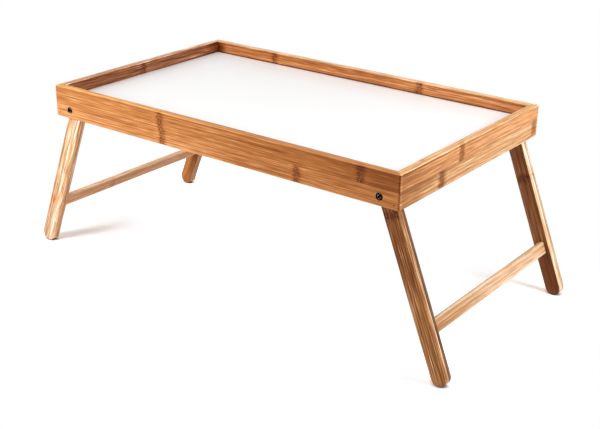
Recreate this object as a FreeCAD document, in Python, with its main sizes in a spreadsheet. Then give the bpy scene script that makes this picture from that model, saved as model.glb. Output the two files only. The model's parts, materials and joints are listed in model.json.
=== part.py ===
import FreeCAD, Part
import math
import os

import Sketcher

# Folding bed tray table of laminated bamboo, in millimetres.
#
# Frame: the origin is on the floor at the centre of the footprint. +X runs along the tray's length
# to the right, the front is towards -Y, and +Z is up. The legs are shown open, on their stops.
#
# The rim is four mitred boards, grooved to hold the panel. Two leg frames, each of two legs and a
# stretcher, turn on screws through the long boards. An open leg leans on the rounded inner bottom
# edge of the end board, and that puts its pivot where the leg has the chosen splay.

SIZES = (
    ("tray_length", 500.0),
    ("tray_width", 300.0),
    ("rim_height", 38.5),
    ("board_thickness", 10.0),
    ("edge_round", 1.5),
    ("corner_round", 1.8),
    ("panel_drop", 15.0),
    ("panel_thickness", 3.0),
    ("groove_depth", 5.0),
    ("groove_play", 0.5),
    ("leg_length", 220.0),
    ("leg_width", 19.5),
    ("leg_thickness", 11.0),
    ("leg_bevel", 0.8),
    ("leg_headroom", 0.4),
    ("splay", 21.5),
    ("stop_clearance", 0.1),
    ("stretcher_reach", 150.0),
    ("stretcher_height", 15.0),
    ("stretcher_thickness", 7.5),
    ("stretcher_round", 2.0),
    ("tenon_height", 10.0),
    ("tenon_thickness", 4.0),
    ("tenon_length", 5.0),
    ("mortise_play", 0.2),
    ("running_gap", 0.1),
    ("bore_clearance", 0.05),
    ("screw_diameter", 4.0),
    ("screw_length", 16.0),
    ("screw_point", 2.4),
    ("pilot_play", 0.3),
    ("head_diameter", 7.8),
    ("head_height", 2.6),
    ("head_bevel", 0.9),
    ("head_sink", 0.5),
    ("head_play", 0.4),
    ("recess_span", 4.4),
    ("recess_width", 1.1),
    ("recess_depth", 1.5),
    ("washer_diameter", 8.6),
    ("washer_thickness", 0.5),
    ("washer_play", 0.15),
    ("brad_diameter", 1.4),
    ("brad_length", 20.0),
    ("brad_point", 1.2),
    ("brad_inset", 6.7),
    ("brad_rise", 5.3),
)

# What follows from the sizes. A rise or a level is measured up from the rim's bottom edge, and a
# depth from the outer face of a long board.
LAYOUT = (
    ("half_length", "=Sizes.tray_length / 2"),
    ("half_width", "=Sizes.tray_width / 2"),
    ("panel_level", "=Sizes.rim_height - Sizes.panel_drop - Sizes.panel_thickness"),
    ("groove_floor", "=Sizes.board_thickness - Sizes.groove_depth"),
    ("panel_inset", "=groove_floor + Sizes.groove_play"),
    ("pivot_rise", "=panel_level - Sizes.leg_headroom - Sizes.leg_width / 2"),
    ("stop_offset", "=Sizes.leg_width / 2 + Sizes.edge_round + Sizes.stop_clearance"),
    ("stop_drop", "=pivot_rise - Sizes.edge_round"),
    ("stop_run", "=(stop_offset + stop_drop * sin(Sizes.splay)) / cos(Sizes.splay)"),
    ("pivot_inset", "=Sizes.board_thickness - Sizes.edge_round + stop_run"),
    ("pivot_x", "=half_length - pivot_inset"),
    ("leg_reach", "=Sizes.leg_length - Sizes.leg_width"),
    ("pivot_z", "=leg_reach * cos(Sizes.splay) + Sizes.leg_width / 2"),
    ("rim_z", "=pivot_z - pivot_rise"),
    ("leg_depth", "=Sizes.board_thickness + Sizes.washer_thickness + Sizes.running_gap"),
    ("leg_y", "=half_width - leg_depth"),
    ("washer_y", "=leg_y + Sizes.washer_thickness"),
    ("stretcher_span", "=2 * (leg_y - Sizes.leg_thickness)"),
    ("head_base", "=Sizes.head_sink + Sizes.head_height"),
    ("screw_tip", "=head_base + Sizes.screw_length"),
    ("brad_x", "=half_length - Sizes.brad_inset"),
    ("brad_z", "=rim_z + Sizes.brad_rise"),
)

# The two ends, the two sides with the half turn that takes a front piece to the back, and the four
# boards with their places and turns about Z.
ENDS = (("left", -1), ("right", 1))
SIDES = (("front", -1, 0), ("back", 1, 180))
BOARDS = {
    "front_board": ("vector(0; -Layout.half_width; Layout.rim_z)", 0),
    "right_end_board": ("vector(Layout.half_length; 0; Layout.rim_z)", 90),
    "back_board": ("vector(0; Layout.half_width; Layout.rim_z)", 180),
    "left_end_board": ("vector(-Layout.half_length; 0; Layout.rim_z)", 270),
}

# How far each driver left its screw's cross turned, in degrees.
SCREW_TURNS = {"front_left": 8, "front_right": 14, "back_left": 37, "back_right": 62}

# Two levels or lengths closer than this are the same.
TOLERANCE = 1e-6


def make_sheets(document):
    """The driving sizes as plain numbers, then what follows from them."""
    sizes = document.addObject("Spreadsheet::Sheet", "Sizes")
    for row, (alias, value) in enumerate(SIZES, start=1):
        sizes.set("A%d" % row, str(value))
        sizes.setAlias("A%d" % row, alias)
    layout = document.addObject("Spreadsheet::Sheet", "Layout")
    for row, (alias, formula) in enumerate(LAYOUT, start=1):
        layout.set("A%d" % row, formula)
        layout.setAlias("A%d" % row, alias)
        document.recompute()


def number(owner, expression):
    """The present value of an expression, used to draw a sketch where its constraints hold it."""
    value = owner.evalExpression(expression)
    return float(getattr(value, "Value", value))


def minus(expression):
    return "-(" + expression + ")"


def make_body(document, name, place, yaw=0, pitch="0"):
    """A piece at a place, turned about Y by pitch and then about Z by yaw."""
    body = document.addObject("PartDesign::Body", name)
    body.Label = name
    body.setExpression("Placement", "placement(%s; rotation(%d; %s; 0))" % (place, yaw, pitch))
    return body


def origin_item(body, role):
    return next(item for item in body.Origin.OriginFeatures if item.Role == role)


def make_sketch(body, name, plane, offset="0"):
    """A sketch on one of the body's own origin planes, moved by offset along the plane's normal."""
    sketch = body.newObject("Sketcher::SketchObject", body.Name + "_" + name)
    sketch.AttachmentSupport = [(origin_item(body, plane), "")]
    sketch.MapMode = "FlatFace"
    sketch.setExpression("AttachmentOffset.Base.z", offset)
    return sketch


def sketch_point(sketch, place):
    return FreeCAD.Vector(number(sketch, place[0]), number(sketch, place[1]), 0)


def constrain(sketch, expression, kind, *where):
    """A size or a coordinate in a sketch, held at an expression."""
    value = number(sketch, expression)
    index = sketch.addConstraint(Sketcher.Constraint(kind, *where, value))
    sketch.setExpression("Constraints[%d]" % index, expression)


def pin(sketch, geometry, point, place):
    constrain(sketch, place[0], "DistanceX", geometry, point)
    constrain(sketch, place[1], "DistanceY", geometry, point)


def draw_arc(start, end, radius):
    """The arc of under half a turn that runs anticlockwise from start to end."""
    chord = end - start
    rise = math.sqrt(radius * radius - chord.Length * chord.Length / 4)
    centre = (start + end) / 2 + FreeCAD.Vector(-chord.y, chord.x, 0).normalize() * rise
    first, last = [math.atan2(spot.y - centre.y, spot.x - centre.x) for spot in (start, end)]
    return Part.ArcOfCircle(Part.Circle(centre, FreeCAD.Vector(0, 0, 1), radius), first, last)


def draw_outline(sketch, places, arcs=None):
    """A closed outline, anticlockwise. arcs gives the radius of an edge that starts at a place."""
    arcs = arcs or {}
    spots = [sketch_point(sketch, place) for place in places]
    edges = []
    for index, start in enumerate(spots):
        end = spots[(index + 1) % len(spots)]
        if index in arcs:
            edge = draw_arc(start, end, number(sketch, arcs[index]))
        else:
            edge = Part.LineSegment(start, end)
        edges.append(sketch.addGeometry(edge, False))
    for index, edge in enumerate(edges):
        following = edges[(index + 1) % len(edges)]
        sketch.addConstraint(Sketcher.Constraint("Coincident", edge, 2, following, 1))
        pin(sketch, edge, 1, places[index])
    for index, radius in arcs.items():
        constrain(sketch, radius, "Radius", edges[index])


def draw_rectangle(sketch, low, high):
    draw_outline(sketch, (low, (high[0], low[1]), high, (low[0], high[1])))


def draw_circle(sketch, centre, radius):
    middle = sketch_point(sketch, centre)
    circle = Part.Circle(middle, FreeCAD.Vector(0, 0, 1), number(sketch, radius))
    index = sketch.addGeometry(circle, False)
    pin(sketch, index, 3, centre)
    constrain(sketch, radius, "Radius", index)


def extrude(body, kind, sketch, length, side, reverse):
    feature = body.newObject(kind, sketch.Name + kind.replace("PartDesign::", "_"))
    feature.Profile = sketch
    feature.SideType = side
    feature.Reversed = reverse
    feature.setExpression("Length", length)
    body.Document.recompute()
    return feature


def add_pad(body, sketch, length, side="One side", reverse=False):
    return extrude(body, "PartDesign::Pad", sketch, length, side, reverse)


def add_pocket(body, sketch, length, side="One side", reverse=False):
    before = body.Tip.Shape.Volume
    pocket = extrude(body, "PartDesign::Pocket", sketch, length, side, reverse)
    require_cut(body, before)
    return pocket


def require_cut(body, before):
    if not body.Tip.Shape.Volume < before:
        raise RuntimeError(body.Tip.Name + " takes nothing away")


def ease_edges(body, kind, size, wanted):
    """Fillet or bevel the edges of the body's present shape for which wanted(edge) is true."""
    base = body.Tip
    edges = ["Edge%d" % count for count, edge in enumerate(base.Shape.Edges, 1) if wanted(edge)]
    feature = body.newObject("PartDesign::" + kind, base.Name + "_" + kind)
    feature.Base = (base, edges)
    feature.setExpression({"Fillet": "Radius", "Chamfer": "Size"}[kind], size)
    body.Document.recompute()


def keeps_level(edge, axis):
    """True for an edge whose two ends are level along an axis: "x", "y" or "z"."""
    first, last = [getattr(vertex.Point, axis) for vertex in (edge.Vertexes[0], edge.Vertexes[-1])]
    return math.isclose(first, last, abs_tol=TOLERANCE)


def is_arris(edge):
    """True for a board's long edges and for the arcs that carry the outer ones round a corner."""
    is_mitre = edge.Curve.TypeId == "Part::GeomLine" and not keeps_level(edge, "y")
    return keeps_level(edge, "z") and not is_mitre


def make_board(document, name, half_span):
    """A rim board seen from outside: X along it, its outer face on y = 0, its foot on z = 0."""
    body = make_body(document, name, *BOARDS[name])
    plan = make_sketch(body, "plan", "XY_Plane")
    bend = "Sizes.corner_round"
    tangent = half_span + " - " + bend
    mitre_x = tangent + " + " + bend + " * cos(45)"
    mitre_y = bend + " - " + bend + " * sin(45)"
    inner = half_span + " - Sizes.board_thickness"
    draw_outline(plan, (
        (minus(tangent), "0"),
        (tangent, "0"),
        (mitre_x, mitre_y),
        (inner, "Sizes.board_thickness"),
        (minus(inner), "Sizes.board_thickness"),
        (minus(mitre_x), mitre_y),
    ), arcs={1: bend, 5: bend})
    add_pad(body, plan, "Sizes.rim_height")
    ease_edges(body, "Fillet", "Sizes.edge_round", is_arris)
    groove = make_sketch(body, "groove", "YZ_Plane")
    draw_rectangle(groove, ("Layout.groove_floor", "Layout.panel_level"),
                   ("Sizes.board_thickness", "Layout.panel_level + Sizes.panel_thickness"))
    add_pocket(body, groove, "2 * " + half_span, side="Symmetric")
    return body


def bore_pivots(body):
    """The screws' running bores near both ends of a long board, counterbored for their heads."""
    centres = make_sketch(body, "pivots", "XZ_Plane")
    for x in ("Layout.pivot_x", "-Layout.pivot_x"):
        draw_circle(centres, (x, "Layout.pivot_rise"), "Sizes.screw_diameter / 2")
    body.Document.recompute()
    before = body.Tip.Shape.Volume
    hole = body.newObject("PartDesign::Hole", body.Name + "_bores")
    hole.Profile = centres
    body.Document.recompute()
    hole.ThreadType = "None"
    hole.DepthType = "ThroughAll"
    hole.HoleCutType = "Counterbore"
    hole.HoleCutCustomValues = True
    hole.setExpression("Diameter", "Sizes.screw_diameter + 2 * Sizes.bore_clearance")
    hole.setExpression("HoleCutDiameter", "Sizes.head_diameter + 2 * Sizes.head_play")
    hole.setExpression("HoleCutDepth", "Layout.head_base + Sizes.running_gap")
    body.Document.recompute()
    require_cut(body, before)


def drill_long_board(body):
    """The brads' holes through a long board, near its ends."""
    centres = make_sketch(body, "brads", "XZ_Plane")
    for x in ("Layout.brad_x", "-Layout.brad_x"):
        draw_circle(centres, (x, "Sizes.brad_rise"), "Sizes.brad_diameter / 2")
    add_pocket(body, centres, "Sizes.board_thickness")


def drill_end_board(body):
    """The brads' holes in an end board: one along it, from its mitred end, and its mirror image."""
    centre = make_sketch(body, "brad", "YZ_Plane", offset="Layout.half_width")
    draw_circle(centre, ("Sizes.brad_inset", "Sizes.brad_rise"), "Sizes.brad_diameter / 2")
    hole = add_pocket(body, centre, "Sizes.brad_length")
    before = body.Tip.Shape.Volume
    mirror = body.newObject("PartDesign::Mirrored", body.Name + "_brad_mirror")
    mirror.Originals = [hole]
    mirror.MirrorPlane = (origin_item(body, "YZ_Plane"), [""])
    body.Tip = mirror
    body.Document.recompute()
    require_cut(body, before)


def make_rim(document):
    for name in ("front_board", "back_board"):
        body = make_board(document, name, "Layout.half_length")
        bore_pivots(body)
        drill_long_board(body)
    for name in ("left_end_board", "right_end_board"):
        drill_end_board(make_board(document, name, "Layout.half_width"))


def make_panel(document):
    """The flat panel that the tray holds things on, let into the grooves all round."""
    body = make_body(document, "tray_panel", "vector(0; 0; Layout.rim_z + Layout.panel_level)")
    plan = make_sketch(body, "plan", "XY_Plane")
    half_x = "Layout.half_length - Layout.panel_inset"
    half_y = "Layout.half_width - Layout.panel_inset"
    draw_rectangle(plan, (minus(half_x), minus(half_y)), (half_x, half_y))
    add_pad(body, plan, "Sizes.panel_thickness")


def draw_slot(sketch, radius, reach):
    """A bar with half-round ends about the sketch's origin and a point straight below it."""
    size = number(sketch, radius)
    drop = number(sketch, reach)
    upright = FreeCAD.Vector(0, 0, 1)
    top = Part.Circle(FreeCAD.Vector(0, 0, 0), upright, size)
    foot = Part.Circle(FreeCAD.Vector(0, -drop, 0), upright, size)
    ring = [
        sketch.addGeometry(Part.ArcOfCircle(top, 0, math.pi), False),
        sketch.addGeometry(Part.LineSegment(FreeCAD.Vector(-size, 0, 0),
                                            FreeCAD.Vector(-size, -drop, 0)), False),
        sketch.addGeometry(Part.ArcOfCircle(foot, math.pi, 2 * math.pi), False),
        sketch.addGeometry(Part.LineSegment(FreeCAD.Vector(size, -drop, 0),
                                            FreeCAD.Vector(size, 0, 0)), False),
    ]
    for index, edge in enumerate(ring):
        sketch.addConstraint(Sketcher.Constraint("Tangent", edge, 2, ring[(index + 1) % 4], 1))
    sketch.addConstraint(Sketcher.Constraint("Equal", ring[0], ring[2]))
    pin(sketch, ring[0], 3, ("0", "0"))
    pin(sketch, ring[2], 3, ("0", minus(reach)))
    constrain(sketch, radius, "Radius", ring[0])


def lean(end, half_turn):
    """The turn about Y that leans a piece of a leg frame outwards, before any half turn about Z."""
    return "Sizes.splay" if (end < 0) == (half_turn == 0) else "-Sizes.splay"


def draw_section(sketch, across, high):
    """An upright rectangle about the stretcher's middle, in the legs' own frame."""
    half_x = across + " / 2"
    half_z = high + " / 2"
    draw_rectangle(sketch, (minus(half_x), "-Sizes.stretcher_reach - " + half_z),
                   (half_x, "-Sizes.stretcher_reach + " + half_z))


def make_leg(document, name, side, end, half_turn):
    """One flat leg. It hangs from its pivot down local -Z, its board-side face on local y = 0."""
    place = "vector(%d * Layout.pivot_x; %d * Layout.leg_y; Layout.pivot_z)" % (end, side)
    body = make_body(document, name + "_leg", place, half_turn, lean(end, half_turn))
    profile = make_sketch(body, "profile", "XZ_Plane")
    draw_slot(profile, "Sizes.leg_width / 2", "Layout.leg_reach")
    add_pad(body, profile, "Sizes.leg_thickness", reverse=True)
    ease_edges(body, "Chamfer", "Sizes.leg_bevel", lambda edge: keeps_level(edge, "y"))
    pilot = make_sketch(body, "pilot", "XZ_Plane")
    draw_circle(pilot, ("0", "0"), "Sizes.screw_diameter / 2")
    add_pocket(body, pilot, "Layout.screw_tip - Layout.leg_depth + Sizes.pilot_play")
    mortise = make_sketch(body, "mortise", "XZ_Plane", offset="-Sizes.leg_thickness")
    draw_section(mortise, "Sizes.tenon_thickness", "Sizes.tenon_height")
    add_pocket(body, mortise, "Sizes.tenon_length + Sizes.mortise_play", reverse=True)


def make_stretcher(document, name, end):
    """The rail between a pair of legs, with a stub tenon at each end, in the legs' own frame."""
    place = "vector(%d * Layout.pivot_x; 0; Layout.pivot_z)" % end
    body = make_body(document, name + "_stretcher", place, 0, lean(end, 0))
    rail = make_sketch(body, "rail", "XZ_Plane")
    draw_section(rail, "Sizes.stretcher_thickness", "Sizes.stretcher_height")
    add_pad(body, rail, "Layout.stretcher_span", side="Symmetric")
    ease_edges(body, "Fillet", "Sizes.stretcher_round", lambda edge: not keeps_level(edge, "y"))
    tenons = make_sketch(body, "tenons", "XZ_Plane")
    draw_section(tenons, "Sizes.tenon_thickness", "Sizes.tenon_height")
    add_pad(body, tenons, "Layout.stretcher_span + 2 * Sizes.tenon_length", side="Symmetric")


def spin(body, half):
    """Turn a half section in the XY plane once round the local Y axis."""
    turned = body.newObject("PartDesign::Revolution", half.Name + "_turned")
    turned.Profile = half
    turned.ReferenceAxis = (origin_item(body, "Y_Axis"), [""])
    body.Document.recompute()


def make_screw(document, name, side, end, half_turn):
    """A pan-head screw. Local +Y runs down it from the outer face of the board that it passes."""
    place = "vector(%d * Layout.pivot_x; %d * Layout.half_width; Layout.pivot_z)" % (end, side)
    body = make_body(document, name + "_screw", place, half_turn, str(SCREW_TURNS[name]))
    half = make_sketch(body, "half", "XY_Plane")
    draw_outline(half, (
        ("0", "Sizes.head_sink"),
        ("Sizes.head_diameter / 2 - Sizes.head_bevel", "Sizes.head_sink"),
        ("Sizes.head_diameter / 2", "Sizes.head_sink + Sizes.head_bevel"),
        ("Sizes.head_diameter / 2", "Layout.head_base"),
        ("Sizes.screw_diameter / 2", "Layout.head_base"),
        ("Sizes.screw_diameter / 2", "Layout.screw_tip - Sizes.screw_point"),
        ("0", "Layout.screw_tip"),
    ))
    spin(body, half)
    recess = make_sketch(body, "recess", "XZ_Plane", offset="-Sizes.head_sink")
    draw_outline(recess, cross_places("Sizes.recess_span / 2", "Sizes.recess_width / 2"))
    add_pocket(body, recess, "Sizes.recess_depth")


def cross_places(arm, half_arm):
    """The twelve corners of an upright cross, anticlockwise."""
    quarter = ((arm, minus(half_arm)), (arm, half_arm), (half_arm, half_arm))
    places = []
    for _ in range(4):
        places.extend(quarter)
        quarter = tuple((minus(y), x) for x, y in quarter)
    return places


def make_washer(document, name, side, end, half_turn):
    """A flat washer that lies against the leg and keeps it off the board."""
    place = "vector(%d * Layout.pivot_x; %d * Layout.washer_y; Layout.pivot_z)" % (end, side)
    body = make_body(document, name + "_washer", place, half_turn)
    ring = make_sketch(body, "ring", "XZ_Plane")
    draw_circle(ring, ("0", "0"), "Sizes.washer_diameter / 2")
    draw_circle(ring, ("0", "0"), "Sizes.screw_diameter / 2 + Sizes.washer_play")
    add_pad(body, ring, "Sizes.washer_thickness", reverse=True)


def make_brad(document, name, side, end, half_turn):
    """A headless brad, driven in flush. Local +Y runs down it from its blunt end."""
    place = "vector(%d * Layout.brad_x; %d * Layout.half_width; Layout.brad_z)" % (end, side)
    body = make_body(document, name + "_brad", place, half_turn)
    half = make_sketch(body, "half", "XY_Plane")
    draw_outline(half, (
        ("0", "0"),
        ("Sizes.brad_diameter / 2", "0"),
        ("Sizes.brad_diameter / 2", "Sizes.brad_length - Sizes.brad_point"),
        ("0", "Sizes.brad_length"),
    ))
    spin(body, half)


def make_leg_frames(document):
    for end_name, end in ENDS:
        for side_name, side, half_turn in SIDES:
            corner = side_name + "_" + end_name
            make_leg(document, corner, side, end, half_turn)
            make_screw(document, corner, side, end, half_turn)
            make_washer(document, corner, side, end, half_turn)
            make_brad(document, corner, side, end, half_turn)
        make_stretcher(document, end_name, end)


def check(document):
    for item in document.Objects:
        if "Invalid" in item.State or "Error" in item.State:
            raise RuntimeError(item.Label + " failed: " + ", ".join(item.State))
        if item.isDerivedFrom("Sketcher::SketchObject") and not item.FullyConstrained:
            raise RuntimeError(item.Label + " is not fully constrained")
    for body in document.findObjects("PartDesign::Body"):
        if body.Shape.isNull() or not body.Shape.isValid() or len(body.Shape.Solids) != 1:
            raise RuntimeError(body.Label + " is not one valid solid")


def main():
    document = FreeCAD.newDocument("bed_tray")
    make_sheets(document)
    make_rim(document)
    make_panel(document)
    make_leg_frames(document)
    document.recompute()
    check(document)
    os.makedirs("parts", exist_ok=True)
    for body in document.findObjects("PartDesign::Body"):
        body.Shape.exportStep("parts/" + body.Label + ".step")


main()
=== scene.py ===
from collections import namedtuple
import json
import math

import bpy
from mathutils import Matrix, Vector


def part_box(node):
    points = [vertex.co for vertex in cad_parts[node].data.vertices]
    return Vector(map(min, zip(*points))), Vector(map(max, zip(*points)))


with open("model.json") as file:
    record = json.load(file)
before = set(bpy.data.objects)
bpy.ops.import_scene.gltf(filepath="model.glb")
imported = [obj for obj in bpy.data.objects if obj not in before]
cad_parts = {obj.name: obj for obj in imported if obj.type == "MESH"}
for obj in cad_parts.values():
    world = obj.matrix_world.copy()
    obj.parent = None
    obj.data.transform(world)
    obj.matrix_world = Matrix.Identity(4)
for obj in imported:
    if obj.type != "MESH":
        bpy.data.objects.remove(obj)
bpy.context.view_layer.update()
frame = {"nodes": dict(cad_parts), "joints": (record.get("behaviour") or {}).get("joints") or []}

# A folding bed tray table of laminated bamboo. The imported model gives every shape; this script
# gives it lacquered bamboo, a white panel and dark screws, and sets the studio and the camera.
# Lengths are in metres, in the model's own frame.


def seen(red, green, blue):
    """A colour as it is seen, in steps of 0 to 255, turned into the renderer's linear values."""
    def channel(value):
        share = value / 255
        return share / 12.92 if share <= 0.04045 else ((share + 0.055) / 1.055) ** 2.4
    return (channel(red), channel(green), channel(blue), 1.0)


# ------------------------------------------------------------------ building a node material

# The share of a peak's reach over which it stays at its full height.
PEAK_CORE = 0.35


class Shader:
    """A node material under construction. Most methods add nodes and return their output."""

    def __init__(self, name):
        self.material = bpy.data.materials.new(name)
        self.material.use_nodes = True
        self.tree = self.material.node_tree
        self.surface = self.tree.nodes["Principled BSDF"]
        coordinates = self.node("ShaderNodeTexCoord")
        self.place = coordinates.outputs["Object"]
        self.facing = coordinates.outputs["Normal"]

    def feed(self, socket, value):
        if isinstance(value, bpy.types.NodeSocket):
            self.tree.links.new(value, socket)
        else:
            socket.default_value = value

    def node(self, kind, inputs=None, **settings):
        made = self.tree.nodes.new(kind)
        for name, value in settings.items():
            setattr(made, name, value)
        for name, value in (inputs or {}).items():
            self.feed(made.inputs[name], value)
        return made

    def math(self, operation, *values):
        made = self.node("ShaderNodeMath", operation=operation)
        for socket, value in zip(made.inputs, values):
            self.feed(socket, value)
        return made.outputs[0]

    def total(self, *values):
        result = values[0]
        for value in values[1:]:
            result = self.math("ADD", result, value)
        return result

    def product(self, *values):
        result = values[0]
        for value in values[1:]:
            result = self.math("MULTIPLY", result, value)
        return result

    def rise(self, value, low, high, start=0.0, end=1.0):
        """A smooth change from start to end as a value goes from low to high."""
        made = self.node("ShaderNodeMapRange", {
            "Value": value, "From Min": low, "From Max": high, "To Min": start, "To Max": end,
        }, interpolation_type="SMOOTHSTEP")
        return made.outputs[0]

    def peak(self, value, centre, reach):
        """1 at the centre, falling smoothly to 0 where the value is off by reach."""
        away = self.math("ABSOLUTE", self.math("SUBTRACT", value, centre))
        return self.rise(away, PEAK_CORE * reach, reach, 1.0, 0.0)

    def swing(self, value, amount):
        """A value around a half, turned into one around zero that reaches amount / 2."""
        return self.math("MULTIPLY", self.math("SUBTRACT", value, 0.5), amount)

    def pick(self, share, first, second):
        """A number that goes from first to second as share goes from 0 to 1."""
        made = self.node("ShaderNodeMix", {"Factor": share}, data_type="FLOAT")
        self.feed(made.inputs["A"], first)
        self.feed(made.inputs["B"], second)
        return made.outputs["Result"]

    def blend(self, share, first, second):
        """A colour that goes from first to second as share goes from 0 to 1."""
        made = self.node("ShaderNodeMix", data_type="RGBA")
        sockets = {socket.identifier: socket for socket in made.inputs}
        self.feed(sockets["Factor_Float"], share)
        self.feed(sockets["A_Color"], first)
        self.feed(sockets["B_Color"], second)
        return next(out for out in made.outputs if out.identifier == "Result_Color")

    def noise(self, place, scale, detail=2.0, roughness=0.5):
        """Noise about a half, with about scale features per metre along each axis."""
        spread = self.node("ShaderNodeMapping", {"Vector": place, "Scale": scale})
        made = self.node("ShaderNodeTexNoise", {
            "Vector": spread.outputs[0], "Scale": 1.0, "Detail": detail, "Roughness": roughness,
        })
        return made.outputs[0]

    def dyed(self, tone, dye, amount):
        """A tone seen through an amount of dye. An amount below 0 bleaches it."""
        filtered = self.node("ShaderNodeGamma", {"Color": dye, "Gamma": amount})
        made = self.node("ShaderNodeVectorMath", {0: tone, 1: filtered.outputs[0]},
                         operation="MULTIPLY")
        return made.outputs[0]

    def bump(self, height, depth):
        made = self.node("ShaderNodeBump", {"Height": height, "Distance": depth, "Strength": 1.0})
        self.feed(self.surface.inputs["Normal"], made.outputs[0])

    def finish(self, colour, roughness, **constants):
        self.feed(self.surface.inputs["Base Color"], colour)
        self.feed(self.surface.inputs["Roughness"], roughness)
        for name, value in constants.items():
            self.surface.inputs[name.replace("_", " ")].default_value = value
        return self.material


# ------------------------------------------------------------------ bamboo

# Noise scales are in features per metre along the grain, across it and through the piece. A shade
# is an amount of brown dye with its sign turned: below 0 the wood is darker, above 0 it is paler.
# Most shades are the wood's own grain, but some marks of the woods below put painted shade and
# painted highlights through the same dye.

# What a unit of each dye lets through: the wood's own brown, and the yellow of its warm stretches.
BROWN_DYE = (0.42, 0.27, 0.13, 1.0)
WARM_DYE = (1.02, 0.97, 0.90, 1.0)

# Seams: how sharp they are, a glue line's reach and shade, and how much further along the upper and
# the inner lamellas take their fibres from.
SEAM_BLUR = 0.00015
GLUE_LINE = (0.0006, -0.16)
LAMELLA_SHIFT = (1.7, 3.1)

# Noise scale and swing of the fibres' sideways waves, of the warmth, and of each kind of fibre.
WAVINESS = ((3.0, 22.0, 22.0), 0.0006)
WARMTH = ((9.0, 140.0, 140.0), 3.0)
FIBRES = {
    "cloud": ((2.5, 80.0, 80.0), 0.34),
    "band": ((3.0, 260.0, 260.0), 0.44),
    "line": ((6.0, 560.0, 560.0), 1.55),
    "fine": ((36.0, 1100.0, 1100.0), 1.80),
}

# Dashes: noise scale, the noise at which a dash begins and is full, and its shade.
DASHES = ((30.0, 700.0, 700.0), 0.58, 0.70, -0.16)

# Knuckles are the culm's nodes. Their bands lie about a knuckle's place as (centre, reach, shade,
# whether the band is mottled). The wobble has a noise scale and a swing, and the mottle has a noise
# scale and the noise at which it begins and is full. Flanks show the given share of a knuckle.
KNUCKLE_BANDS = (
    (0.0008, 0.0080, -0.30, False),
    (-0.0014, 0.0019, -1.15, True),
    (0.0022, 0.0024, -0.80, True),
    (-0.0085, 0.0045, 0.12, True),
    (0.0100, 0.0070, 0.06, True),
)
KNUCKLE_WOBBLE = ((60.0, 330.0, 330.0), 0.0110)
KNUCKLE_MOTTLE = ((380.0, 560.0, 560.0), 0.40, 0.62)
KNUCKLE_ON_FLANK = 0.35

# A streak breaks up with the band fibres: as their noise goes from the first number to the second,
# the share of the streak's shade goes from the third to the fourth.
STREAK_BREAKS = (0.2, 0.6, 0.5, 1.0)

# How near an arris lies is the distance from its face and from its side, added up. The arris band
# is whole within the first number and gone past the second. It is patchy by the cloud fibres, as
# the streaks are by the band fibres, and takes each wood's edge shade, or this one where a wood
# gives none: paler and worn on the boards and stretchers, darker along the legs' arrises.
EDGE_REACH = (0.0006, 0.0020)
EDGE_PATCHES = (0.35, 0.60, 0.4, 1.0)
PLAIN_EDGE = 0.10

# The share of a surface's facing that lies across the grain, or along it, where the look of a flank,
# or of end grain, begins and is full.
FLANK_TURN = (0.45, 0.75)
END_TURN = (0.50, 0.95)
# End grain is darker, partly its own tone and partly painted shade on the undersides of the round
# feet.
END_GRAIN_AND_FOOT_SHADE = -1.30

# The lacquer: its roughness, what the fine fibres, arrises and end grain add to it, and its gloss.
LACQUER_ROUGHNESS = 0.38
FIBRE_ROUGHNESS = 0.30
WORN_ROUGHNESS = 0.10
END_ROUGHNESS = 0.25
LACQUER_GLOSS = {"Specular_IOR_Level": 0.16, "Coat_Weight": 0.03, "Coat_Roughness": 0.30}
FIBRE_DEPTH = 0.00003

# Where a bamboo piece lies: its outer face's origin, the ways its grain and its width run, how low
# and how high it reaches across the grain, and how deep it is behind its outer face.
Piece = namedtuple("Piece", "origin along across low high depth")


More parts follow.
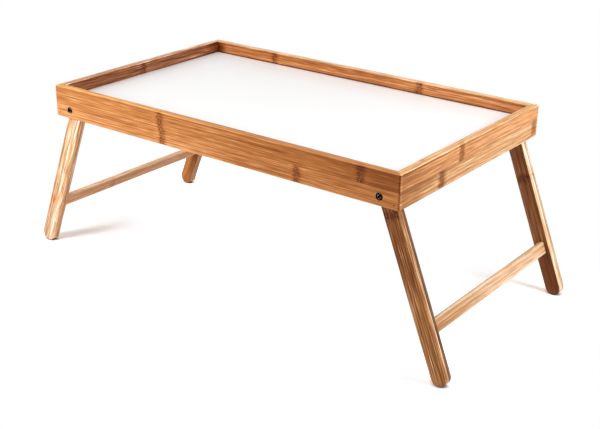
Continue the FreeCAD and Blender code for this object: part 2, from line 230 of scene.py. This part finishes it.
class Bamboo(Shader):
    """Lacquered laminated bamboo, for one piece and its wood."""

    def __init__(self, name, piece, wood):
        super().__init__(name)
        self.piece = piece
        self.wood = wood
        self.along, self.across, self.through = self.grain_place()

        # Two layers of two lamellas: 1 in the upper ones, and 1 in the inner ones.
        self.middle = -piece.depth / 2
        self.upper = self.rise(self.across, wood["seam"] - SEAM_BLUR, wood["seam"] + SEAM_BLUR)
        self.inner = self.rise(self.through, self.middle - SEAM_BLUR, self.middle + SEAM_BLUR,
                               1.0, 0.0)

        # Narrow sides take the flank tones: partly side grain, partly painted light, paler where
        # light falls.
        self.flank = self.turned(piece.across, FLANK_TURN)
        self.wide = self.math("SUBTRACT", 1.0, self.flank)
        self.end_grain = self.turned(piece.along, END_TURN)

        # Each lamella takes its fibres from a stretch of its own.
        shift = self.total(self.along, self.math("MULTIPLY", self.upper, LAMELLA_SHIFT[0]),
                           self.math("MULTIPLY", self.inner, LAMELLA_SHIFT[1]), wood["seed"])
        scale, swing = WAVINESS
        straight = self.joined(shift, self.across, self.through)
        self.waves = self.swing(self.noise(straight, scale), swing)
        self.waved_across = self.total(self.across, self.waves)
        self.in_wood = self.joined(shift, self.waved_across, self.total(self.through, self.waves))
        self.fibres = {kind: self.noise(self.in_wood, form[0]) for kind, form in FIBRES.items()}

    def grain_place(self):
        """A point's place along the grain, across it, and out from the piece's outer face."""
        through = self.piece.along.cross(self.piece.across)
        turn = Matrix((self.piece.along, self.piece.across, through))
        mapping = self.node("ShaderNodeMapping", {
            "Vector": self.place,
            "Location": -(turn @ self.piece.origin),
            "Rotation": turn.to_euler(),
        })
        return self.node("ShaderNodeSeparateXYZ", {"Vector": mapping.outputs[0]}).outputs

    def joined(self, along, across, through):
        made = self.node("ShaderNodeCombineXYZ", {"X": along, "Y": across, "Z": through})
        return made.outputs[0]

    def turned(self, direction, turn):
        """1 where the surface faces along a direction, either way, and 0 where it is beside it."""
        made = self.node("ShaderNodeVectorMath", {0: self.facing, 1: direction},
                         operation="DOT_PRODUCT")
        return self.rise(self.math("ABSOLUTE", made.outputs["Value"]), *turn)

    def by_lamella(self, choose, values):
        """A value for each lamella: outer low, outer high, inner low, inner high."""
        outer_pair = choose(self.upper, values[0], values[1])
        inner_pair = choose(self.upper, values[2], values[3])
        return choose(self.inner, outer_pair, inner_pair)

    def spot(self, at_along, at_across, length, width):
        """1 at a spot of the wide faces, fading out over half its length and width."""
        return self.product(self.peak(self.along, at_along, length / 2),
                            self.peak(self.waved_across, at_across, width / 2), self.wide)

    def fibre_shades(self):
        contrast = self.wood.get("contrast", 1.0)
        for kind, (_, swing) in FIBRES.items():
            yield self.swing(self.fibres[kind], swing * contrast)
        scale, low, high, shade = DASHES
        yield self.rise(self.noise(self.in_wood, scale), low, high, 0.0, shade * contrast)

    def knuckle_shades(self):
        """One knuckle every internode: a mottled dark band between jagged lines."""
        knuckles = self.wood["knuckles"]
        phase = self.by_lamella(self.pick, [at for at, _ in knuckles])
        half_span = self.by_lamella(self.pick, [internode / 2 for _, internode in knuckles])
        scale, swing = KNUCKLE_WOBBLE
        wobble = self.swing(self.noise(self.in_wood, scale), swing)
        offset = self.total(self.along, wobble, self.math("MULTIPLY", phase, -1.0))
        offset = self.math("WRAP", offset, half_span, self.math("MULTIPLY", half_span, -1.0))
        scale, low, high = KNUCKLE_MOTTLE
        mottle = self.rise(self.noise(self.in_wood, scale), low, high)
        strength = self.wood.get("knot", 1.0)
        strength = self.pick(self.flank, strength, strength * KNUCKLE_ON_FLANK)
        for centre, reach, shade, mottled in KNUCKLE_BANDS:
            band = self.product(self.peak(offset, centre, reach), strength, shade)
            yield self.product(band, mottle) if mottled else band

    def mark_shades(self):
        """The streaks, lines and drifts that this one wood has, some of them painted shade and
        highlights.
        """
        for *where, shade in self.wood.get("streaks", ()):
            broken = self.rise(self.fibres["band"], *STREAK_BREAKS)
            yield self.product(self.spot(*where), broken, shade)
        for at_across, width, shade in self.wood.get("lines", ()):
            yield self.product(self.peak(self.across, at_across, width / 2), self.wide, shade)
        for at_across, width, shade in self.wood.get("crease_shade_lines", ()):
            line = self.peak(self.across, at_across, width / 2)
            yield self.product(line, self.wide, self.inner, shade)
        for start, end, low_shade, high_shade in self.wood.get("drifts", ()):
            shade = self.pick(self.upper, low_shade, high_shade)
            yield self.product(self.rise(self.along, start, end), self.wide, shade)
        for start, end, shade in self.wood.get("painted_flank_falloff", ()):
            yield self.product(self.rise(self.along, start, end), self.flank, shade)

    def glue_shades(self):
        reach, shade = GLUE_LINE
        for value, at in ((self.across, self.wood["seam"]), (self.through, self.middle)):
            yield self.product(self.peak(value, at, reach), shade)

    def patchy_arrises(self):
        """Patchy bands along the arrises: paler and worn on the boards and stretchers, darker on the
        legs.
        """
        from_face = self.math("MINIMUM", self.math("MULTIPLY", self.through, -1.0),
                              self.total(self.through, self.piece.depth))
        from_side = self.math("MINIMUM", self.math("SUBTRACT", self.across, self.piece.low),
                              self.math("SUBTRACT", self.piece.high, self.across))
        edge = self.rise(self.total(from_face, from_side), *EDGE_REACH, 1.0, 0.0)
        return self.product(edge, self.rise(self.fibres["cloud"], *EDGE_PATCHES))

    def warmth(self):
        scale, swing = WARMTH
        warmth = self.swing(self.noise(self.in_wood, scale), swing)
        for *where, amount in self.wood.get("glows", ()):
            warmth = self.total(warmth, self.product(self.spot(*where), amount))
        return warmth

    def make(self):
        """The finished material."""
        arris_band = self.patchy_arrises()
        shade = self.total(
            *self.fibre_shades(), *self.knuckle_shades(), *self.mark_shades(), *self.glue_shades(),
            self.math("MULTIPLY", arris_band, self.wood.get("edge", PLAIN_EDGE)),
            self.math("MULTIPLY", self.end_grain, END_GRAIN_AND_FOOT_SHADE))
        face_tone = self.by_lamella(self.blend, [seen(*tone) for tone in self.wood["tones"]])
        # The flank tones are partly painted light.
        flank_tone = self.blend(self.inner, *[seen(*tone) for tone in self.wood["flanks"]])
        colour = self.dyed(self.blend(self.flank, face_tone, flank_tone), BROWN_DYE,
                           self.math("MULTIPLY", shade, -1.0))
        colour = self.dyed(colour, WARM_DYE, self.warmth())
        roughness = self.total(LACQUER_ROUGHNESS, self.swing(self.fibres["fine"], FIBRE_ROUGHNESS),
                               self.math("MULTIPLY", arris_band, WORN_ROUGHNESS),
                               self.math("MULTIPLY", self.end_grain, END_ROUGHNESS))
        self.bump(self.total(self.fibres["fine"], self.fibres["line"]), FIBRE_DEPTH)
        return self.finish(colour, roughness, **LACQUER_GLOSS)


# ------------------------------------------------------------------ the pieces' places

JOINTS = {joint["child"]: joint for joint in frame["joints"]}
UP = Vector((0, 0, 1))


def board_place(node, outward):
    """A rim board: its grain runs anticlockwise round the tray, seen from above."""
    low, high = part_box(node)
    along = UP.cross(outward)
    reach = max(low.dot(outward), high.dot(outward))
    depth = min(high.x - low.x, high.y - low.y)
    origin = outward * reach + UP * low.z
    return Piece(origin, along, UP, 0.0, high.z - low.z, depth)


def frame_lean(end):
    """A leg frame's pivot, its legs' half width, and the unit vector that runs down its legs."""
    pivot = Vector(JOINTS[end + "_leg_frame"]["pos_m"])
    low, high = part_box("front_" + end + "_leg")
    half_width = high.z - pivot.z
    run = (high.x - low.x) - 2 * half_width
    drop = (high.z - low.z) - 2 * half_width
    side = math.copysign(1, pivot.x)
    return pivot, half_width, Vector((side * run, 0, -drop)).normalized()


def leg_place(end, side):
    pivot, half_width, down = frame_lean(end)
    low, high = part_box(side + "_" + end + "_leg")
    outward = Vector((0, -1 if side == "front" else 1, 0))
    face = low.y if side == "front" else high.y
    origin = Vector((pivot.x, face, pivot.z))
    return Piece(origin, down, outward.cross(down), -half_width, half_width, high.y - low.y)


def stretcher_place(end):
    """A stretcher: its grain runs along the tray's width, and its outer face leans as the legs do."""
    pivot, _, down = frame_lean(end)
    low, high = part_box(end + "_stretcher")
    centre = (low + high) / 2
    side = math.copysign(1, pivot.x)
    along = Vector((0, side, 0))
    outward = along.cross(-down)
    slant = abs(down.x)
    upright = abs(down.z)
    width = high.x - low.x
    tall = high.z - low.z
    height = (tall * upright - width * slant) / (upright ** 2 - slant ** 2)
    depth = (width * upright - tall * slant) / (upright ** 2 - slant ** 2)
    origin = centre + outward * depth / 2
    return Piece(origin, along, -down, -height / 2, height / 2, depth)


# ------------------------------------------------------------------ the woods

# What each wood holds. Places are in metres along and across the piece's grain.
#   outward       the way a rim board's outer face looks
#   seam          where the seam between the low and the high lamellas lies across the grain
#   seed          sets its fibres apart from the other woods'
#   contrast      how strong its fibres are, 1 if it isn't given
#   edge          the shade of its arrises
#   tones         of the lamellas: outer low, outer high, inner low, inner high
#   flanks        the tones of the narrow sides, of the outer and the inner layer: partly side grain,
#                 partly painted light, as the tops and sides that face the light are given paler
#                 tones
#   knuckles      for each lamella in that order: where one lies, and the internode's length
#   knot          how strong its knuckles are, 1 if it isn't given
#   streaks       (along, across, length, width, shade), on the wide faces
#   glows         (along, across, length, width, amount of warm dye), on the wide faces
#   lines         (across, width, shade), the whole length of the wide faces; on the boards they are
#                 painted shade under the top arris and a painted highlight along the bottom one
#   crease_shade_lines   the same, on the inner layer only: painted shade where the panel meets the board
#   drifts        (start, end, low shade, high shade), along the wide faces; several are painted shade
#   painted_flank_falloff  (start, end, shade), along the flanks: painted falloff of the light

# The seam of a piece whose layers are one lamella each lies outside it.
NO_SEAM = 1.0
RIM_SEAM = 0.0195
# The rims' lines: painted shade just under the top arris, and a painted highlight along the bottom
# arris.
RIM_SHADE_AND_HIGHLIGHT_LINES = ((0.0366, 0.0024, -0.34), (0.0012, 0.0024, 0.16))

BOARD_WOODS = {
    "front_board": {
        "outward": Vector((0, -1, 0)), "seam": RIM_SEAM, "seed": 11.0,
        "tones": ((201, 133, 75), (192, 124, 65), (208, 130, 68), (212, 136, 76)),
        "flanks": ((227, 159, 82), (222, 150, 82)),
        "knuckles": ((-0.0715, 0.1935), (-0.0745, 0.2765), (0.060, 0.230), (-0.180, 0.250)),
        "streaks": ((-0.165, 0.0145, 0.120, 0.0050, -0.34), (0.020, 0.0300, 0.260, 0.0040, -0.26),
                    (0.190, 0.0150, 0.150, 0.0040, -0.24), (0.2490, 0.019, 0.0028, 0.100, -0.50),
                    (0.070, 0.0190, 0.150, 0.0800, -0.20)),
        "lines": RIM_SHADE_AND_HIGHLIGHT_LINES,
        # Its drifts darken it towards the right end, partly its tone and partly painted falloff of
        # the light; the drift along its top flank is painted falloff of the light.
        "drifts": ((-0.05, 0.25, -0.26, -0.30), (0.13, 0.25, 0.0, -0.48)),
        "painted_flank_falloff": ((-0.25, 0.22, -0.47),),
    },
    "right_end_board": {
        "outward": Vector((1, 0, 0)), "seam": RIM_SEAM, "seed": 23.0, "contrast": 1.1,
        "knot": 1.25,
        "tones": ((210, 155, 103), (214, 150, 94), (208, 134, 72), (214, 144, 84)),
        "flanks": ((220, 166, 108), (214, 156, 100)),
        "knuckles": ((-0.0700, 0.2600), (-0.0305, 0.2700), (0.055, 0.240), (-0.100, 0.250)),
        # Its last streak, paler, is a painted highlight on the rounded front corner beside the mitre.
        "streaks": ((-0.115, 0.0170, 0.090, 0.0040, -0.34), (0.070, 0.0215, 0.120, 0.0030, -0.22),
                    (-0.069, 0.0090, 0.026, 0.0300, -0.34), (-0.105, 0.0120, 0.060, 0.0140, -0.16),
                    (0.1405, 0.0130, 0.016, 0.0260, -0.80), (-0.1478, 0.0190, 0.004, 0.1000, 0.30)),
        "lines": RIM_SHADE_AND_HIGHLIGHT_LINES,
        "drifts": ((0.090, -0.150, -0.22, -0.22), (-0.080, -0.150, -0.44, -0.38)),
    },
    "back_board": {
        "outward": Vector((0, 1, 0)), "seam": RIM_SEAM, "seed": 37.0, "contrast": 1.3,
        "tones": ((150, 88, 54), (210, 138, 80), (206, 128, 66), (188, 117, 62)),
        "flanks": ((227, 180, 131), (220, 166, 114)),
        "knuckles": ((0.030, 0.240), (-0.110, 0.260), (0.180, 0.240), (-0.0925, 0.2300)),
        "lines": ((0.0366, 0.0024, -0.30),),
        # Painted shade: its inner line where the panel meets it, and its drift in the inner corner by
        # the left board.
        "crease_shade_lines": ((0.0236, 0.0036, -1.90),),
        "drifts": ((0.222, 0.240, -1.30, -1.30),),
    },
    "left_end_board": {
        "outward": Vector((-1, 0, 0)), "seam": RIM_SEAM, "seed": 53.0, "contrast": 2.2,
        "tones": ((206, 134, 78), (212, 142, 84), (146, 84, 44), (147, 88, 51)),
        "flanks": ((209, 153, 104), (200, 140, 96)),
        "knuckles": ((-0.060, 0.250), (0.080, 0.240), (-0.090, 0.250), (0.0075, 0.2600)),
        "lines": ((0.0366, 0.0024, -0.30),),
        # Painted shade: its inner line where the panel meets it, and its drift in the inner corner by
        # the back board.
        "crease_shade_lines": ((0.0236, 0.0030, -0.80),),
        "drifts": ((-0.112, -0.140, -0.70, -0.70),),
    },
}

# The legs' arrises are darker, giving them dark outlines.
LEG_EDGE = -0.30

LEG_WOODS = {
    "front_left": {
        "seam": 0.0012, "seed": 71.0, "edge": -0.10, "contrast": 1.7,
        "tones": ((208, 163, 118), (234, 188, 146), (204, 144, 92), (198, 136, 86)),
        "flanks": ((255, 198, 141), (230, 175, 129)),
        "knuckles": ((0.144, 0.200), (0.092, 0.200), (0.069, 0.200), (0.069, 0.200)), "knot": 0.30,
        "streaks": ((0.146, -0.003, 0.010, 0.005, -0.30),),
        "glows": ((0.144, -0.003, 0.026, 0.010, 6.0),),
    },
    "front_right": {
        "seam": 0.0010, "seed": 83.0, "edge": LEG_EDGE, "contrast": 2.2,
        # Its dark face tones against its pale outer flank are partly painted shade on its front face,
        # and its drift is painted shade darkening its top, under the rim.
        "tones": ((158, 104, 56), (151, 95, 44), (156, 98, 56), (146, 90, 50)),
        "flanks": ((204, 152, 106), (106, 70, 39)),
        "knuckles": ((0.023, 0.230), (0.023, 0.230), (0.120, 0.230), (0.120, 0.230)),
        "streaks": ((0.075, 0.0065, 0.130, 0.004, -0.25),),
        "drifts": ((0.125, 0.070, -0.66, -0.52),),
    },
    "back_left": {
        "seam": 0.0020, "seed": 97.0, "edge": LEG_EDGE,
        "tones": ((214, 146, 88), (218, 152, 92), (173, 105, 49), (202, 132, 71)),
        "flanks": ((214, 164, 120), (206, 150, 104)),
        "knuckles": ((0.110, 0.220), (0.050, 0.220), (0.120, 0.220), (0.080, 0.220)),
        "streaks": ((0.168, -0.0050, 0.060, 0.009, -0.50),),
    },
    "back_right": {
        "seam": 0.0010, "seed": 109.0, "edge": LEG_EDGE, "contrast": 1.35,
        # Its inner layer's dark face tones against its pale inner flank are partly painted shade,
        # that face lying in the tray's shade; its streak is painted shade round the stretcher's end
        # and on down the leg.
        "tones": ((224, 160, 102), (214, 150, 94), (137, 82, 36), (150, 95, 53)),
        "flanks": ((203, 167, 131), (252, 205, 163)),
        "knuckles": ((0.062, 0.230), (0.150, 0.230), (0.062, 0.230), (0.062, 0.230)),
        "streaks": ((0.180, 0.0, 0.090, 0.060, -0.80),),
    },
}

STRETCHER_WOODS = {
    "left": {
        "seam": NO_SEAM, "seed": 131.0, "contrast": 0.9,
        "tones": ((212, 144, 88),) * 2 + ((238, 174, 124),) * 2,
        "flanks": ((252, 207, 163), (252, 207, 163)),
        "knuckles": ((0.040, 0.300),) * 4, "knot": 0.28,
    },
    "right": {
        "seam": NO_SEAM, "seed": 149.0, "contrast": 0.8,
        "tones": ((222, 178, 140),) * 2 + ((216, 160, 108),) * 2,
        "flanks": ((225, 189, 146), (206, 158, 108)),
        "knuckles": ((-0.170, 0.360),) * 4,
        "drifts": ((0.030, -0.120, -0.42, -0.42),),
    },
}


# ------------------------------------------------------------------ the other materials

# The panel's white facing above and the fibreboard below, each between two tones.
PANEL_WHITES = ((246, 246, 246), (251, 250, 249))
PANEL_BROWNS = ((150, 112, 78), (188, 150, 110))
# Each noise of the panel: its scale, detail and roughness.
PANEL_NOISES = {
    "ripple": ((90.0, 90.0, 90.0), 3.0, 0.5),
    "cloud": ((9.0, 9.0, 9.0), 2.0, 0.5),
    "speck": ((900.0, 900.0, 900.0), 4.0, 0.7),
    "scuff": ((30.0, 420.0, 30.0), 4.0, 0.65),
}
# The noise at which a speck of fibreboard begins to turn pale and is pale, and how far up a surface
# faces where the white begins and is full.
PANEL_SPECKS = (0.3, 0.7)
PANEL_UPWARD = (0.2, 0.4)
FACING_ROUGHNESS = 0.34
SCUFF_ROUGHNESS = 0.16
FIBREBOARD_ROUGHNESS = 0.80
PANEL_DEPTH = 0.00002

# Each metal: its dark and bright tone, its roughness and the scale of its machining marks.
METALS = {
    # The black screw's bright tone is a painted glint, shown in small patches on its dark head.
    "screw": {"name": "black_screw", "slot": "dark_screw", "tones": ((8, 8, 8), (235, 230, 222)),
              "roughness": 0.26, "marks": (900.0, 900.0, 900.0)},
    "washer": {"name": "zinc_washer", "slot": "washer_steel",
               "tones": ((150, 150, 150), (190, 190, 188)),
               "roughness": 0.36, "marks": (1500.0, 200.0, 1500.0)},
    "brad": {"name": "dull_brad", "slot": "brad_steel", "tones": ((70, 48, 36), (104, 78, 60)),
             "roughness": 0.50, "marks": (900.0, 900.0, 900.0)},
}
# The bright patches: their noise's scale, detail and roughness, the noise at which a patch begins
# and is full, and how far the patches swing the metal's own roughness. On the washers and brads they
# are worn patches; on the black screws they are painted glints.
METAL_PATCHES = ((700.0, 700.0, 700.0), 4.0, 0.6)
PATCH_EDGE = (0.60, 0.66)
PATCH_ROUGHNESS = 0.25
MARK_DETAIL = 3.0
MARK_DEPTH = 0.00002
METALLIC = 0.9


def make_panel_white():
    """Smooth white facing above; the plain fibreboard shows below."""
    shader = Shader("white_panel")
    noises = {kind: shader.noise(shader.place, *form) for kind, form in PANEL_NOISES.items()}
    white = shader.blend(noises["cloud"], *[seen(*tone) for tone in PANEL_WHITES])
    board = shader.blend(shader.rise(noises["speck"], *PANEL_SPECKS),
                         *[seen(*tone) for tone in PANEL_BROWNS])
    up = shader.node("ShaderNodeSeparateXYZ", {"Vector": shader.facing}).outputs["Z"]
    is_top = shader.rise(up, *PANEL_UPWARD)
    smooth = shader.total(FACING_ROUGHNESS, shader.swing(noises["scuff"], SCUFF_ROUGHNESS))
    shader.bump(shader.total(noises["ripple"], noises["speck"]), PANEL_DEPTH)
    return shader.finish(shader.blend(is_top, board, white),
                         shader.pick(is_top, FIBREBOARD_ROUGHNESS, smooth))


def make_metal(metal):
    """Metal in patches of two tones, with fine machining marks: worn patches on the washers and
    brads, painted glints on the screws.
    """
    shader = Shader(metal["name"])
    patches = shader.noise(shader.place, *METAL_PATCHES)
    marks = shader.noise(shader.place, metal["marks"], MARK_DETAIL)
    colour = shader.blend(shader.rise(patches, *PATCH_EDGE),
                          *[seen(*tone) for tone in metal["tones"]])
    shader.bump(marks, MARK_DEPTH)
    roughness = shader.total(metal["roughness"], shader.swing(patches, PATCH_ROUGHNESS))
    return shader.finish(colour, roughness, Metallic=METALLIC)


# ------------------------------------------------------------------ dressing the pieces

def dress(node, material):
    obj = frame["nodes"][node]
    obj.data.materials.clear()
    obj.data.materials.append(material)
    for face in obj.data.polygons:
        face.material_index = 0


def dress_bamboo(node, place, wood):
    dress(node, Bamboo("bamboo_" + node, place, wood).make())


def dress_all():
    for node, wood in BOARD_WOODS.items():
        dress_bamboo(node, board_place(node, wood["outward"]), wood)
    for corner, wood in LEG_WOODS.items():
        side, end = corner.split("_")
        dress_bamboo(corner + "_leg", leg_place(end, side), wood)
    for end, wood in STRETCHER_WOODS.items():
        dress_bamboo(end + "_stretcher", stretcher_place(end), wood)
    dress("tray_panel", make_panel_white())
    for kind, metal in METALS.items():
        material = make_metal(metal)
        for corner in LEG_WOODS:
            dress(corner + "_" + kind, material)


# ------------------------------------------------------------------ studio

# Where it is seen directly, the background is white. The light itself is the world's level, the
# lamps, and what the floor's plain white sends back.
WORLD_LEVEL = 0.36
BACKGROUND_LEVEL = 1.0
FLOOR_ALBEDO = 0.84
FLOOR_SIZE = 8.0
FLOOR_DROP = 0.0002

# The floor as it is seen round the feet. Its brightness and tint in the open:
FLOOR_SEEN = 1.06
FLOOR_TINT = (0.99, 1.0, 1.03)
# How far openness to the sky is looked for, and the slope and start of the light that it lets in.
OPEN_REACH = 1.0
OPEN_LIGHT = (1.18, 0.17)
# How far contact shade reaches, and the openness at which it is full and at which it is gone.
CONTACT_REACH = 0.016
CONTACT_LEVELS = (0.10, 0.90)
# The distances from a foot between which its shadow fades out, and how much the floor round each
# foot is lifted, to be white where no shadow falls.
FOOT_RING = (0.06, 0.135)
FOOT_GAINS = {
    "front_left": 1.26,
    "back_left": 1.90,
    "front_right": 1.32,
    "back_right": 1.14,
}

LAMPS = {
    "right_softbox": {"at": (0.95, 0.14, 0.68), "aim": (0.10, 0.0, 0.14), "size": 0.34,
                      "watts": 6.0},
    "left_softbox": {"at": (-0.46, -0.90, 0.56), "aim": (-0.25, -0.10, 0.12), "size": 0.36,
                     "watts": 7.0},
    "top_softbox": {"at": (0.0, 0.001, 2.4), "aim": (0.0, 0.0, 0.0), "size": 2.4,
                    "watts": 17.5},
}


def seen_directly(tree):
    """1 for rays from the camera, and for those that mirror or pass through to it."""
    path = tree.nodes.new("ShaderNodeLightPath")
    result = path.outputs["Is Camera Ray"]
    for name in ("Is Glossy Ray", "Is Transmission Ray"):
        join = tree.nodes.new("ShaderNodeMath")
        join.operation = "MAXIMUM"
        tree.links.new(result, join.inputs[0])
        tree.links.new(path.outputs[name], join.inputs[1])
        result = join.outputs[0]
    return result


def make_world():
    world = bpy.data.worlds.new("studio")
    bpy.context.scene.world = world
    world.use_nodes = True
    tree = world.node_tree
    background = tree.nodes["Background"]
    background.inputs["Color"].default_value = (1, 1, 1, 1)
    level = tree.nodes.new("ShaderNodeMix")
    level.data_type = "FLOAT"
    level.inputs["A"].default_value = WORLD_LEVEL
    level.inputs["B"].default_value = BACKGROUND_LEVEL
    tree.links.new(seen_directly(tree), level.inputs["Factor"])
    tree.links.new(level.outputs["Result"], background.inputs["Strength"])


def foot_place(corner):
    """Where a leg meets the floor, when it stands."""
    _, half_width, _ = frame_lean(corner.split("_")[1])
    low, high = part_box(corner + "_leg")
    along = low.x + half_width if high.x < 0 else high.x - half_width
    return Vector((along, (low.y + high.y) / 2, 0))


def near_feet(shader):
    """1 at the feet, fading out round them, and each foot's gain within its own ring."""
    rings = []
    gains = []
    for corner, gain in FOOT_GAINS.items():
        away = shader.node("ShaderNodeVectorMath", {0: shader.place, 1: foot_place(corner)},
                           operation="DISTANCE").outputs["Value"]
        rings.append(shader.rise(away, *FOOT_RING, 1.0, 0.0))
        gains.append(shader.product(shader.math("LESS_THAN", away, FOOT_RING[1]), gain))
    return shader.total(*rings), shader.total(*gains)


def openness(shader, reach):
    return shader.node("ShaderNodeAmbientOcclusion", {"Distance": reach}).outputs["AO"]


def make_floor_white():
    """Plain white that lights the object from below. Seen directly, it is pure white, but for the
    shadows round the feet, where it is as white as it would be in the open. From below it isn't
    seen at all."""
    shader = Shader("floor_white")
    shader.tree.nodes.remove(shader.surface)
    directly = seen_directly(shader.tree)
    near, foot_gain = near_feet(shader)
    light = shader.math("MULTIPLY_ADD", openness(shader, OPEN_REACH), *OPEN_LIGHT)
    contact = shader.rise(openness(shader, CONTACT_REACH), *CONTACT_LEVELS)
    gain = shader.product(shader.math("DIVIDE", FLOOR_SEEN, light), foot_gain, contact)
    tinted = shader.node("ShaderNodeVectorMath", {0: gain, 1: FLOOR_TINT}, operation="MULTIPLY")
    colour = shader.blend(directly, (FLOOR_ALBEDO, FLOOR_ALBEDO, FLOOR_ALBEDO, 1.0),
                          tinted.outputs[0])
    lit = shader.node("ShaderNodeBsdfDiffuse", {"Color": colour}).outputs[0]
    white = shader.node("ShaderNodeEmission").outputs[0]
    is_white = shader.product(shader.math("SUBTRACT", 1.0, near), directly)
    sweep = shader.node("ShaderNodeMixShader", {0: is_white, 1: lit, 2: white}).outputs[0]
    clear = shader.node("ShaderNodeBsdfTransparent").outputs[0]
    behind = shader.node("ShaderNodeNewGeometry").outputs["Backfacing"]
    one_sided = shader.node("ShaderNodeMixShader", {0: behind, 1: sweep, 2: clear}).outputs[0]
    shader.feed(shader.tree.nodes["Material Output"].inputs["Surface"], one_sided)
    return shader.material


def make_floor():
    half = FLOOR_SIZE / 2
    around = ((-half, -half), (half, -half), (half, half), (-half, half))
    mesh = bpy.data.meshes.new("floor")
    mesh.from_pydata([(x, y, -FLOOR_DROP) for x, y in around], [], [(0, 1, 2, 3)])
    mesh.materials.append(make_floor_white())
    floor = bpy.data.objects.new("floor", mesh)
    bpy.context.scene.collection.objects.link(floor)


def look_along(direction):
    return direction.to_track_quat("-Z", "Y")


def make_lamps():
    for name, lamp in LAMPS.items():
        light = bpy.data.lights.new(name, "AREA")
        light.shape = "SQUARE"
        light.size = lamp["size"]
        light.energy = lamp["watts"]
        obj = bpy.data.objects.new(name, light)
        obj.location = lamp["at"]
        obj.rotation_mode = "QUATERNION"
        obj.rotation_quaternion = look_along(Vector(lamp["aim"]) - Vector(lamp["at"]))
        obj.visible_camera = False
        bpy.context.scene.collection.objects.link(obj)


# ------------------------------------------------------------------ camera

CAMERA_AZIMUTH = math.radians(37.12)
CAMERA_ELEVATION = math.radians(22.789)
CAMERA_ROLL = math.radians(0.556)
CAMERA_DISTANCE = 1.33539
CAMERA_TARGET = Vector((0.03702, -0.03041, 0.08840))
CAMERA_LENS_MM = 66.521
SENSOR_WIDTH_MM = 36.0


def make_camera():
    level = math.cos(CAMERA_ELEVATION)
    back = Vector((math.sin(CAMERA_AZIMUTH) * level, -math.cos(CAMERA_AZIMUTH) * level,
                   math.sin(CAMERA_ELEVATION)))
    right = UP.cross(back).normalized()
    upright = back.cross(right)
    rolled_right = right * math.cos(CAMERA_ROLL) + upright * math.sin(CAMERA_ROLL)
    rolled_up = upright * math.cos(CAMERA_ROLL) - right * math.sin(CAMERA_ROLL)
    data = bpy.data.cameras.new("camera")
    data.lens = CAMERA_LENS_MM
    data.sensor_width = SENSOR_WIDTH_MM
    camera = bpy.data.objects.new("camera", data)
    turn = Matrix((rolled_right, rolled_up, back)).transposed().to_4x4()
    camera.matrix_world = Matrix.Translation(CAMERA_TARGET + back * CAMERA_DISTANCE) @ turn
    bpy.context.scene.collection.objects.link(camera)
    bpy.context.scene.camera = camera


# ------------------------------------------------------------------ the scene

dress_all()
make_world()
make_floor()
make_lamps()
make_camera()
bpy.context.scene.view_settings.view_transform = "Standard"
